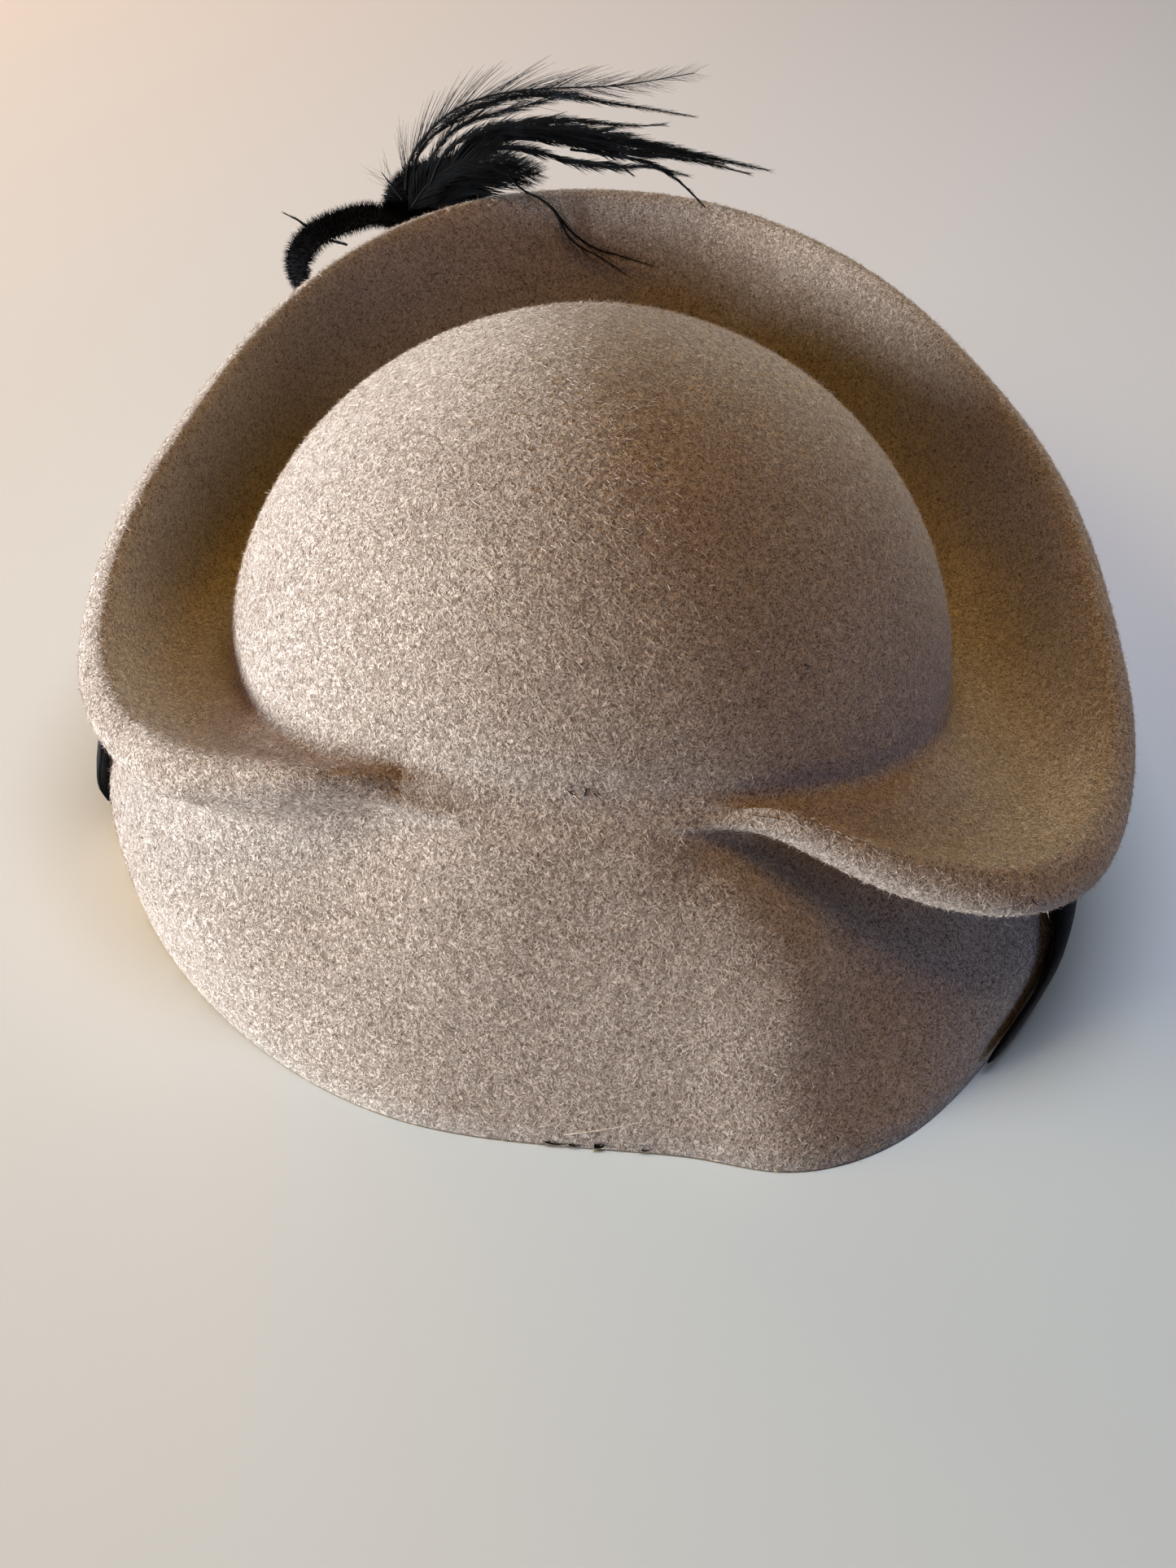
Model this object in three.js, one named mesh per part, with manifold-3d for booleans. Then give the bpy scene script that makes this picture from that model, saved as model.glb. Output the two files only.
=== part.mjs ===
// A tilt hat of the 1940s, blocked from one piece of taupe velour felt.
// A round crown leans forward; round it the felt turns up into a rolled halo brim, high in front.
// At the back the halo is pinched away, and the felt runs on down as a deep nape flap.
// A black velvet band lies under the brim, with a looped bow and a spray of feathers at the wearer's left.
// The hat stands on the flat edge of its rim: +Z is up, +Y is its front, and -X the wearer's left.
import * as THREE from "three";
import { mergeVertices } from "three/addons/utils/BufferGeometryUtils.js";
import Module from "manifold-3d";

// Driving sizes, in millimetres
const feltThickness = 2.4;
const crownRadius = 91.5;
const crownHeight = 90;
const crownBaseHeight = 37.3;
const crownOffset = 1.6;
const brimReach = 130;
const peakHeight = 86;
const rollRadius = 7;
const flapReach = 124;
const pinchDepth = 2.2;

// Driving angles, in degrees. trimAngle is where the trim sits on the brim, round the hat from the centre
// back.
const crownLean = 23.8;
const trimAngle = -160;
const loopAngle = -15;

// How finely the felt is divided: columns round the hat, closer together at the back
const feltColumns = 72;
const backCrowding = 0.35;

// The velvet trim and the feathers
const bandThickness = 1.6;
const bandStandOff = 1.8;
const knotWidth = 32;
const knotHeight = 24;
const knotDepth = 9;
const loopLength = 48;
const ribbonWidth = 11;
const ribbonThickness = 2.4;
const plumeLength = 96;
const quillStubHeight = 16;
const featherThickness = 1.2;

// The gap that each piece keeps to the next, and the extra room that the band needs because the felt's
// curves are cut into flat facets.
const seatGap = 0.3;
const faceting = 0.6;

const radians = THREE.MathUtils.degToRad;
const wasm = await Module();
wasm.setup();

// Tables of the felt's lines. "at" is the angle round the hat in degrees: 0 is the centre back, 90 the
// right and -90 the left. "out" and "up" are shares of the size that each table follows.

// The groove where the crown meets the brim. rise is its height over the crown's base, a share of
// crownHeight.
const grooveRows = [
  { at: -180, rise: 0.24 },
  { at: -130, rise: 0.16 },
  { at: -95, rise: 0.04 },
  { at: -60, rise: -0.02 },
  { at: 0, rise: -0.01 },
  { at: 60, rise: -0.03 },
  { at: 95, rise: 0.02 },
  { at: 130, rise: 0.14 },
];

// The brim's upper face, halfway from groove to crest. out follows brimReach and up follows peakHeight.
const faceRows = [
  { at: -180, out: 1.02, up: 0.46 },
  { at: -150, out: 0.96, up: 0.46 },
  { at: -120, out: 0.84, up: 0.46 },
  { at: -90, out: 0.82, up: 0.47 },
  { at: -65, out: 0.82, up: 0.58 },
  { at: -45, out: 0.79, up: 0.735 },
  { at: -30, out: 0.7, up: 0.8 },
  { at: 0, out: 0.66, up: 0.82 },
  { at: 24, out: 0.68, up: 0.79 },
  { at: 45, out: 0.82, up: 0.66 },
  { at: 65, out: 0.88, up: 0.53 },
  { at: 90, out: 0.84, up: 0.45 },
  { at: 120, out: 0.86, up: 0.47 },
  { at: 150, out: 0.96, up: 0.46 },
];

// The crest of the rolled brim. out follows brimReach, up follows peakHeight, and roll follows rollRadius.
const crestRows = [
  { at: -180, out: 1.28, up: 1.03, roll: 1.0 },
  { at: -165, out: 1.245, up: 1.03, roll: 1.0 },
  { at: -150, out: 1.155, up: 1.0, roll: 1.0 },
  { at: -132, out: 1.02, up: 0.96, roll: 1.0 },
  { at: -112, out: 0.938, up: 0.9, roll: 1.0 },
  { at: -98, out: 0.945, up: 0.83, roll: 1.0 },
  { at: -86, out: 0.965, up: 0.76, roll: 1.0 },
  { at: -72, out: 0.985, up: 0.7, roll: 1.0 },
  { at: -60, out: 0.97, up: 0.705, roll: 1.0 },
  { at: -50, out: 0.935, up: 0.74, roll: 0.95 },
  { at: -38, out: 0.825, up: 0.79, roll: 0.75 },
  { at: -28, out: 0.73, up: 0.81, roll: 0.6 },
  { at: 0, out: 0.68, up: 0.82, roll: 0.45 },
  { at: 20, out: 0.695, up: 0.805, roll: 0.5 },
  { at: 27, out: 0.735, up: 0.81, roll: 0.65 },
  { at: 34, out: 0.825, up: 0.76, roll: 0.8 },
  { at: 41, out: 0.93, up: 0.71, roll: 0.95 },
  { at: 48, out: 1.02, up: 0.675, roll: 1.0 },
  { at: 56, out: 1.06, up: 0.635, roll: 1.0 },
  { at: 68, out: 1.052, up: 0.62, roll: 1.0 },
  { at: 80, out: 1.028, up: 0.67, roll: 1.0 },
  { at: 92, out: 1.002, up: 0.74, roll: 1.0 },
  { at: 111, out: 1.01, up: 0.85, roll: 1.0 },
  { at: 133, out: 1.065, up: 0.935, roll: 1.0 },
  { at: 154, out: 1.2, up: 0.985, roll: 1.0 },
  { at: 169, out: 1.27, up: 1.02, roll: 1.0 },
];

// How far the brim's fold stands out of the slope from groove to belly. It is pinched away at the centre
// back.
const foldRows = [
  { at: -180, fold: 1.0 },
  { at: -36, fold: 1.0 },
  { at: -29, fold: 0.85 },
  { at: -22, fold: 0.4 },
  { at: -15, fold: 0.08 },
  { at: -8, fold: 0.0 },
  { at: 8, fold: 0.0 },
  { at: 13, fold: 0.12 },
  { at: 18, fold: 0.4 },
  { at: 23, fold: 0.8 },
  { at: 29, fold: 1.0 },
  { at: 110, fold: 1.0 },
];

// The tuck under the brim, where it turns down into the flap. out follows brimReach and up follows
// peakHeight.
const tuckRows = [
  { at: -180, out: 1.1, up: 0.52 },
  { at: -150, out: 1.02, up: 0.5 },
  { at: -120, out: 0.9, up: 0.48 },
  { at: -90, out: 0.88, up: 0.45 },
  { at: -78, out: 0.915, up: 0.45 },
  { at: -65, out: 0.925, up: 0.46 },
  { at: -50, out: 0.86, up: 0.52 },
  { at: -38, out: 0.775, up: 0.6 },
  { at: -28, out: 0.7, up: 0.68 },
  { at: 0, out: 0.68, up: 0.7 },
  { at: 20, out: 0.655, up: 0.7 },
  { at: 27, out: 0.68, up: 0.65 },
  { at: 34, out: 0.725, up: 0.6 },
  { at: 41, out: 0.78, up: 0.53 },
  { at: 50, out: 0.835, up: 0.46 },
  { at: 60, out: 0.88, up: 0.41 },
  { at: 75, out: 0.89, up: 0.39 },
  { at: 95, out: 0.89, up: 0.43 },
  { at: 120, out: 0.92, up: 0.48 },
  { at: 150, out: 1.03, up: 0.5 },
];

// The flap's fullest line, and the rim that the hat stands on. Both follow flapReach, and up follows
// peakHeight.
const bellyRows = [
  { at: -180, out: 0.98, up: 0.22 },
  { at: -140, out: 0.94, up: 0.22 },
  { at: -100, out: 0.95, up: 0.22 },
  { at: -68, out: 1.015, up: 0.22 },
  { at: -45, out: 0.98, up: 0.27 },
  { at: -20, out: 0.88, up: 0.38 },
  { at: 0, out: 0.815, up: 0.5 },
  { at: 13, out: 0.837, up: 0.5 },
  { at: 23, out: 0.872, up: 0.5 },
  { at: 31, out: 0.885, up: 0.44 },
  { at: 41, out: 1.02, up: 0.27 },
  { at: 55, out: 1.072, up: 0.24 },
  { at: 68, out: 1.035, up: 0.25 },
  { at: 85, out: 0.99, up: 0.2 },
  { at: 110, out: 0.955, up: 0.22 },
  { at: 140, out: 0.95, up: 0.22 },
];
const rimRows = [
  { at: -180, out: 0.82 },
  { at: -140, out: 0.84 },
  { at: -100, out: 0.92 },
  { at: -70, out: 0.99 },
  { at: -45, out: 1.0 },
  { at: -20, out: 1.01 },
  { at: 0, out: 0.995 },
  { at: 13, out: 1.025 },
  { at: 22, out: 1.1 },
  { at: 32, out: 1.12 },
  { at: 44, out: 1.09 },
  { at: 58, out: 1.05 },
  { at: 75, out: 1.0 },
  { at: 100, out: 0.93 },
  { at: 140, out: 0.85 },
];

// A table's column at any angle: a smooth curve through its rows that closes on itself.
function around(rows, column, at) {
  const count = rows.length;
  const turn = 360;
  const angle = THREE.MathUtils.euclideanModulo(at + 180, turn) - 180;
  let before = count - 1;
  for (let i = 0; i < count; i++) if (rows[i].at <= angle) before = i;
  const row = (i) => {
    const laps = Math.floor(i / count);
    const r = rows[i - laps * count];
    return { at: r.at + laps * turn, value: r[column] };
  };
  const [a, b, c, d] = [-1, 0, 1, 2].map((step) => row(before + step));
  const span = c.at - b.at;
  const share = (angle - b.at) / span;
  const slopeAtB = (c.value - a.value) / (c.at - a.at);
  const slopeAtC = (d.value - b.value) / (d.at - b.at);
  const s2 = share * share;
  const s3 = s2 * share;
  return (
    b.value * (2 * s3 - 3 * s2 + 1) +
    c.value * (3 * s2 - 2 * s3) +
    span * (slopeAtB * (s3 - 2 * s2 + share) + slopeAtC * (s3 - s2))
  );
}

// A point at an angle round the hat, a distance out from the crown's axis and a height over the rim.
function pointAt(at, out, up) {
  return new THREE.Vector3(out * Math.sin(radians(at)), -out * Math.cos(radians(at)), up);
}

// A point in the crown's own frame, leaned forward and set at its height.
function leaned(point) {
  point.applyAxisAngle(new THREE.Vector3(1, 0, 0), -radians(crownLean));
  point.x -= crownOffset;
  point.z += crownBaseHeight;
  return point;
}

// The shares of the way from the crown's pole to the groove at which a section takes a point.
const domeShares = [0, 0.13, 0.26, 0.38, 0.5, 0.61, 0.72, 0.82, 0.91, 0.97, 1];

// Where the brim's points lie on the plain slope from groove to belly when the fold is pinched away.
const slopeShares = [0.04, 0.09, 0.14, 0.19, 0.24, 0.29, 0.42];

// The shallow valley that the pinch leaves across the back. Its height and half width are shares of
// peakHeight.
const pinchValley = { up: 0.8, spread: 0.085 };

// One section of the felt's outer face, from the crown's pole to the rim.
function section(at) {
  const grooveRise = around(grooveRows, "rise", at);
  const grooveAngle = Math.acos(grooveRise);
  const dome = domeShares.map((share) => {
    const fall = grooveAngle * share;
    return leaned(pointAt(at, crownRadius * Math.sin(fall), crownHeight * Math.cos(fall)));
  });
  const groove = dome[dome.length - 1];
  const face = pointAt(
    at,
    around(faceRows, "out", at) * brimReach,
    around(faceRows, "up", at) * peakHeight,
  );
  const crestOut = around(crestRows, "out", at) * brimReach;
  const crestUp = around(crestRows, "up", at) * peakHeight;
  const roll = around(crestRows, "roll", at) * rollRadius;
  const crest = pointAt(at, crestOut - roll, crestUp);
  const shoulder = pointAt(at, crestOut, crestUp - roll);
  const underside = pointAt(at, crestOut - roll, crestUp - 2 * roll);
  const tuck = pointAt(
    at,
    around(tuckRows, "out", at) * brimReach,
    around(tuckRows, "up", at) * peakHeight,
  );
  const belly = pointAt(
    at,
    around(bellyRows, "out", at) * flapReach,
    around(bellyRows, "up", at) * peakHeight,
  );
  const rim = pointAt(at, around(rimRows, "out", at) * flapReach, 0);
  const brimStart = groove.clone().lerp(face, 0.25);
  const brimTop = face.clone().lerp(crest, 0.6);
  const fold = around(foldRows, "fold", at);
  const folded = [brimStart, face, brimTop, crest, shoulder, underside, tuck];
  const slope = folded.map((point, i) => groove.clone().lerp(belly, slopeShares[i]).lerp(point, fold));
  const line = [...dome, ...slope, belly, rim];
  for (const point of line) {
    const rise = (point.z / peakHeight - pinchValley.up) / pinchValley.spread;
    point.addScaledVector(pointAt(at, 1, 0), -pinchDepth * (1 - fold) * Math.exp(-(rise ** 2)));
  }
  return new THREE.CatmullRomCurve3(line, false, "centripetal");
}

// Where a section is sampled: station numbers along its curve, closer together in the folds.
const stationSteps = [1, 1, 1, 1, 1, 1, 1, 1, 1, 1, 1, 2, 2, 2, 2, 2, 3, 2, 2];
const stations = [0];
stationSteps.forEach((steps, i) => {
  for (let k = 1; k <= steps; k++) stations.push(i + k / steps);
});

function columnAngle(i) {
  const turn = (i / feltColumns) * 360 - 180;
  return turn - THREE.MathUtils.radToDeg(Math.sin(radians(turn))) * backCrowding;
}

// The felt's outer face as a grid: one row of points for each station, one column for each angle.
const sections = Array.from({ length: feltColumns }, (_, i) => section(columnAngle(i)));
const outerGrid = stations.map((s) =>
  sections.map((curve) => curve.getPoint(s / stationSteps.length)),
);

// Normals of the outer face, from the neighbours of each grid point.
function gridNormal(grid, j, i) {
  const left = grid[j][(i + feltColumns - 1) % feltColumns];
  const right = grid[j][(i + 1) % feltColumns];
  const above = grid[Math.max(j - 1, 0)][i];
  const below = grid[Math.min(j + 1, grid.length - 1)][i];
  return right.clone().sub(left).cross(above.clone().sub(below)).normalize();
}

const crownAxis = leaned(new THREE.Vector3(0, 0, 1)).sub(leaned(new THREE.Vector3()));
const innerGrid = outerGrid.map((row, j) =>
  row.map((p, i) => {
    const outward = j === 0 ? crownAxis.clone() : gridNormal(outerGrid, j, i);
    if (j === outerGrid.length - 1) outward.setZ(0).normalize();
    return p.clone().addScaledVector(outward, -feltThickness);
  }),
);

// A closed surface from a list of points and a list of triangles.
function surfaceOf(points, triangles) {
  const geometry = new THREE.BufferGeometry();
  geometry.setAttribute(
    "position",
    new THREE.Float32BufferAttribute(points.flatMap((p) => [p.x, p.y, p.z]), 3),
  );
  geometry.setIndex(triangles);
  geometry.computeVertexNormals();
  return geometry;
}

function feltGeometry() {
  const points = [outerGrid[0][0], innerGrid[0][0]];
  const index = { outer: [], inner: [] };
  for (const [side, grid] of Object.entries({ outer: outerGrid, inner: innerGrid }))
    grid.forEach((row, j) => {
      index[side][j] = row.map((p) => {
        if (j === 0) return side === "outer" ? 0 : 1;
        points.push(p);
        return points.length - 1;
      });
    });
  const triangles = [];
  const last = outerGrid.length - 1;
  for (let i = 0; i < feltColumns; i++) {
    const next = (i + 1) % feltColumns;
    for (let j = 0; j < last; j++) {
      const [a, d] = [index.outer[j][i], index.outer[j][next]];
      const [b, c] = [index.outer[j + 1][i], index.outer[j + 1][next]];
      triangles.push(a, b, c);
      if (j > 0) triangles.push(a, c, d);
      const [e, h] = [index.inner[j][i], index.inner[j][next]];
      const [f, g] = [index.inner[j + 1][i], index.inner[j + 1][next]];
      triangles.push(e, g, f);
      if (j > 0) triangles.push(e, h, g);
    }
    const [p, q] = [index.outer[last][i], index.outer[last][next]];
    const [r, s] = [index.inner[last][i], index.inner[last][next]];
    triangles.push(p, r, q, q, r, s);
  }
  return surfaceOf(points, triangles);
}

// A closed geometry as a solid, for joining pieces and for measuring the gap between them.
function solidOf(geometry) {
  const bare = geometry.clone();
  bare.deleteAttribute("normal");
  bare.deleteAttribute("uv");
  const merged = mergeVertices(bare);
  return new wasm.Manifold(
    new wasm.Mesh({
      numProp: 3,
      vertProperties: new Float32Array(merged.getAttribute("position").array),
      triVerts: new Uint32Array(merged.getIndex().array),
    }),
  );
}

// Pieces joined into one solid, as a geometry again.
function joined(geometries) {
  const smallestEdge = 0.02;
  const mesh = wasm.Manifold.union(geometries.map(solidOf)).simplify(smallestEdge).getMesh();
  const geometry = new THREE.BufferGeometry();
  const positions = new Float32Array(mesh.vertProperties);
  geometry.setAttribute("position", new THREE.BufferAttribute(positions, 3));
  geometry.setIndex(Array.from(mesh.triVerts));
  geometry.computeVertexNormals();
  return geometry;
}

// Slides a piece along a direction until its smallest gap to the pieces that carry it is seatGap.
function seated(geometry, away, carriers) {
  const solid = solidOf(geometry);
  const supports = carriers.map(solidOf);
  const searchLength = 4;
  let tooNear = -30;
  let clear = 60;
  while (clear - tooNear > 0.01) {
    const middle = (clear + tooNear) / 2;
    const moved = solid.translate(away.clone().multiplyScalar(middle).toArray());
    const gap = Math.min(...supports.map((support) => moved.minGap(support, searchLength)));
    if (gap > seatGap) clear = middle;
    else tooNear = middle;
  }
  const shift = away.clone().multiplyScalar(clear);
  return geometry.translate(shift.x, shift.y, shift.z);
}

// A tube of closed rings of points, capped at each end with a strip between the ring's two sides.
function loft(rings) {
  const size = rings[0].length;
  const points = rings.flat();
  const triangles = [];
  for (let r = 0; r < rings.length - 1; r++)
    for (let k = 0; k < size; k++) {
      const [a, b] = [r * size + k, r * size + ((k + 1) % size)];
      triangles.push(a, a + size, b, b, a + size, b + size);
    }
  const last = (rings.length - 1) * size;
  for (let k = 0; k < size / 2 - 1; k++) {
    const [a, b, c, d] = [k, k + 1, size - 2 - k, size - 1 - k];
    triangles.push(a, b, c, a, c, d);
    triangles.push(last + a, last + c, last + b, last + a, last + d, last + c);
  }
  return surfaceOf(points, triangles);
}

// The velvet band's two ends, as angles round the hat, at its top and its bottom edge.
const bandEnds = {
  right: { topAngle: 68, bottomAngle: 44 },
  left: { topAngle: 291, bottomAngle: 285 },
};

// The velvet band: it follows the felt's outer face from under the tuck to near the rim.
function bandGeometry() {
  const last = stationSteps.length;
  const top = last - 1.87;
  const bottom = last - 0.13;
  const rows = 7;
  const columns = 50;
  const surface = (at, station) => section(at).getPoint(station / last);
  const rings = [];
  for (let i = 0; i <= columns; i++) {
    const inner = [];
    const outer = [];
    for (let k = 0; k < rows; k++) {
      const drop = k / (rows - 1);
      const start = THREE.MathUtils.lerp(bandEnds.right.topAngle, bandEnds.right.bottomAngle, drop);
      const end = THREE.MathUtils.lerp(bandEnds.left.topAngle, bandEnds.left.bottomAngle, drop);
      const at = THREE.MathUtils.lerp(start, end, i / columns);
      const station = THREE.MathUtils.lerp(top, bottom, drop);
      const aside = surface(at + 1, station).sub(surface(at - 1, station));
      const rise = surface(at, station - 0.1).sub(surface(at, station + 0.1));
      const out = aside.cross(rise).normalize();
      const off = seatGap + faceting + bandStandOff * (1 - drop) ** 2;
      inner.push(surface(at, station).addScaledVector(out, off));
      outer.push(surface(at, station).addScaledVector(out, off + bandThickness));
    }
    rings.push([...inner, ...outer.reverse()]);
  }
  return loft(rings);
}

// Directions at the trim: out from the brim, and along it towards the wearer's left and back.
const trimOut = pointAt(trimAngle, 1, 0);
const trimAlong = new THREE.Vector3(trimOut.y, -trimOut.x, 0).negate();
const trimRoll = around(crestRows, "roll", trimAngle) * rollRadius;
const trimPoint = pointAt(
  trimAngle,
  around(crestRows, "out", trimAngle) * brimReach,
  around(crestRows, "up", trimAngle) * peakHeight - trimRoll,
);

// An ellipsoid lined up with the brim at the trim.
function trimEllipsoid(width, depth, height) {
  const ellipsoid = new THREE.SphereGeometry(1, 20, 12);
  const basis = new THREE.Matrix4().makeBasis(
    trimAlong.clone().multiplyScalar(width / 2),
    new THREE.Vector3(0, 0, height / 2),
    trimAlong.clone().cross(new THREE.Vector3(0, 0, 1)).multiplyScalar(depth / 2),
  );
  return ellipsoid.applyMatrix4(basis);
}

// The feathers, all lengths as shares of plumeLength. reach runs across the front to the wearer's right,
// rise goes up and lean goes forward, each from the quills' stub to the tip. arch is the point that bends
// the shaft.
const featherRows = [
  { reach: 0.73, rise: 0.47, archReach: -0.15, archRise: 0.4, lean: -0.07, width: 0.06 },
  { reach: 0.75, rise: 0.34, archReach: -0.02, archRise: 0.36, lean: -0.05, width: 0.045 },
  { reach: 1.0, rise: 0.19, archReach: 0.25, archRise: 0.33, lean: -0.06, width: 0.085 },
  { reach: 0.81, rise: 0.06, archReach: 0.42, archRise: 0.32, lean: -0.03, width: 0.055 },
  { reach: 0.59, rise: 0.14, archReach: 0.23, archRise: 0.24, lean: -0.05, width: 0.045 },
];

// One feather's blade: a flat strip along its shaft, widest past the middle and narrow at both ends.
function featherGeometry(row) {
  const shaft = new THREE.QuadraticBezierCurve3(
    new THREE.Vector3(),
    new THREE.Vector3(row.archReach, row.lean * 0.3, row.archRise).multiplyScalar(plumeLength),
    new THREE.Vector3(row.reach, row.lean, row.rise).multiplyScalar(plumeLength),
  );
  const steps = 12;
  const front = new THREE.Vector3(0, 1, 0);
  const rings = [];
  for (let k = 0; k <= steps; k++) {
    const t = k / steps;
    const side = shaft.getTangent(t).cross(front).normalize();
    const half = (row.width * plumeLength * (0.12 + 0.88 * Math.sin(Math.PI * Math.pow(t, 1.2)))) / 2;
    const thick = featherThickness / 2;
    rings.push(
      [
        [half, 0],
        [half * 0.5, thick],
        [-half * 0.5, thick],
        [-half, 0],
        [-half * 0.5, -thick],
        [half * 0.5, -thick],
      ].map(([s, n]) => shaft.getPoint(t).addScaledVector(side, s).addScaledVector(front, n)),
    );
  }
  return loft(rings);
}

// The velvet bow: a ribbon loop that stands out from the knot. Its rows are shares of loopLength.
const loopRows = [
  { along: 0.12, up: -0.06 },
  { along: 0.3, up: -0.06 },
  { along: 0.45, up: 0.0 },
  { along: 0.64, up: 0.0 },
  { along: 0.84, up: -0.04 },
  { along: 0.97, up: -0.17 },
  { along: 0.94, up: -0.38 },
  { along: 0.71, up: -0.48 },
  { along: 0.42, up: -0.38 },
  { along: 0.12, up: -0.2 },
];

function loopGeometry() {
  const along = trimAlong.clone().applyAxisAngle(new THREE.Vector3(0, 0, 1), radians(-loopAngle));
  const across = trimOut.clone().applyAxisAngle(new THREE.Vector3(0, 0, 1), radians(-loopAngle));
  const path = new THREE.CatmullRomCurve3(
    loopRows.map((row) =>
      along.clone().multiplyScalar(row.along * loopLength).setZ(row.up * loopLength),
    ),
    false,
    "centripetal",
  );
  const steps = 36;
  const rings = [];
  for (let k = 0; k <= steps; k++) {
    const t = k / steps;
    const thick = across.clone().cross(path.getTangent(t)).normalize();
    const [w, h] = [ribbonWidth / 2, ribbonThickness / 2];
    rings.push(
      [
        [w, 0],
        [w * 0.85, h],
        [-w * 0.85, h],
        [-w, 0],
        [-w * 0.85, -h],
        [w * 0.85, -h],
      ].map(([a, b]) => path.getPoint(t).addScaledVector(across, a).addScaledVector(thick, b)),
    );
  }
  return loft(rings);
}

const felt = feltGeometry();
const band = bandGeometry();
const spray = joined([
  trimEllipsoid(quillStubHeight * 0.9, quillStubHeight * 0.4, quillStubHeight),
  ...featherRows.map(featherGeometry),
]);
const sprayHeight = trimPoint.z + quillStubHeight * 0.3;
spray.translate(trimPoint.x, trimPoint.y, sprayHeight);
seated(spray, trimOut, [felt]);
const bow = joined([trimEllipsoid(knotWidth, knotDepth, knotHeight), loopGeometry()]);
bow.translate(trimPoint.x, trimPoint.y, trimPoint.z);
seated(bow, trimOut, [felt, spray]);

const pieces = {
  felt_hat: { geometry: felt, color: "#8a7565", roughness: 0.95 },
  velvet_band: { geometry: band, color: "#0c0c0e", roughness: 0.9 },
  velvet_bow: { geometry: bow, color: "#0c0c0e", roughness: 0.9 },
  feather_spray: { geometry: spray, color: "#14171b", roughness: 0.55 },
};

// The hat's own group, moved so that the middle of its box's underside is the origin.
const hat = new THREE.Group();
for (const [name, { geometry, color, roughness }] of Object.entries(pieces)) {
  const material = new THREE.MeshStandardMaterial({ color, roughness, metalness: 0 });
  const mesh = new THREE.Mesh(geometry, material);
  mesh.name = name;
  hat.add(mesh);
}
const box = new THREE.Box3().setFromObject(hat);
const middle = box.getCenter(new THREE.Vector3());
for (const mesh of hat.children) mesh.geometry.translate(-middle.x, -middle.y, -box.min.z);

export default hat;
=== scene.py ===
# %% [markdown]
# # A felt tilt hat, dressed for its photograph
# The hat was modelled as solids first: one hollow shell of felt, a velvet band, a velvet bow and a spray
# of feathers. Those solids are the frame of this lesson. Nothing here moves or resizes them: each step
# makes the finish that a solid can't hold, such as nap, pile, barbs and threads, and puts it where the
# solid already is.

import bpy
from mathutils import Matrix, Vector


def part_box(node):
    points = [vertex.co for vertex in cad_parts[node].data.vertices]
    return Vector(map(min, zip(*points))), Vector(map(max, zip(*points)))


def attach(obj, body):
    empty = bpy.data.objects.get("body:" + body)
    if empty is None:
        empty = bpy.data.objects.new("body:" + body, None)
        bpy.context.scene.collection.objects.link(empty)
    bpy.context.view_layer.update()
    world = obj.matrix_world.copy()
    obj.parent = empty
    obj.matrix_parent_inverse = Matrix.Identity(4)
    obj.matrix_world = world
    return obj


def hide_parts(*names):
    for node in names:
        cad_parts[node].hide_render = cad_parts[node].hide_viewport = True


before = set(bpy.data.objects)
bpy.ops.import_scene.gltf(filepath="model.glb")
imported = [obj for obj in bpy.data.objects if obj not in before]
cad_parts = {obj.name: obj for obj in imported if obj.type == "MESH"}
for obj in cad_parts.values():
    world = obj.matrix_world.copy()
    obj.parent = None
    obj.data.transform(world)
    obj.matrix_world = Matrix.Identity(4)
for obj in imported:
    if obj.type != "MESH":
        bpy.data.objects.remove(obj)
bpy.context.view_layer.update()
print("nodes:", sorted(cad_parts))

# %% [markdown]
# ## The camera
# A camera that stands where the photographer stood is made first, because every later choice is judged
# through it. The picture looks down on the hat from behind. The camera could be turned by hand until the
# outlines agree. Here it is worked out instead, from how steeply it looks down, how far the picture leans
# and how far away it is, so that each of the three can be mended by itself.

# %% Set up the camera
import math
import bmesh
import bpy
import numpy as np
from mathutils import Matrix, Vector
from mathutils.bvhtree import BVHTree

millimetre = 0.001
crown_middle = Vector((-0.0032, -0.0199, 0.0373))
look_down = math.radians(44.0)
picture_lean = math.radians(4.0)
camera_distance = 0.479
camera_drop = 0.0311
camera_lens = 42.8


def camera_axes():
    """The camera's right, up and forward directions, with the picture's lean put in."""
    forward = Vector((0, math.cos(look_down), -math.sin(look_down)))
    level_up = Vector((0, math.sin(look_down), math.cos(look_down)))
    level_right = Vector((1, 0, 0))
    right = level_right * math.cos(picture_lean) + level_up * math.sin(picture_lean)
    up = level_up * math.cos(picture_lean) - level_right * math.sin(picture_lean)
    return right, up, forward, level_up


def make_camera():
    right, up, forward, level_up = camera_axes()
    place = crown_middle - forward * camera_distance - level_up * camera_drop
    camera = bpy.data.objects.new("camera", bpy.data.cameras.new("camera"))
    camera.data.lens = camera_lens
    camera.data.sensor_width = 36
    camera.data.clip_start = 0.01
    camera.matrix_world = Matrix(
        (
            (right.x, up.x, -forward.x, place.x),
            (right.y, up.y, -forward.y, place.y),
            (right.z, up.z, -forward.z, place.z),
            (0, 0, 0, 1),
        )
    )
    bpy.context.scene.collection.objects.link(camera)
    bpy.context.scene.camera = camera
    return camera


camera = make_camera()
print("camera at", [round(v, 3) for v in camera.location])

# %% [markdown]
# ## Node trees in code
# Materials and Geometry Nodes are both trees of nodes, and one small helper builds either. It makes a
# node, sets its options, and fills each input with a value or with a link from another node. An input is
# named by its label, or by its number where several share a label.


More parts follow.
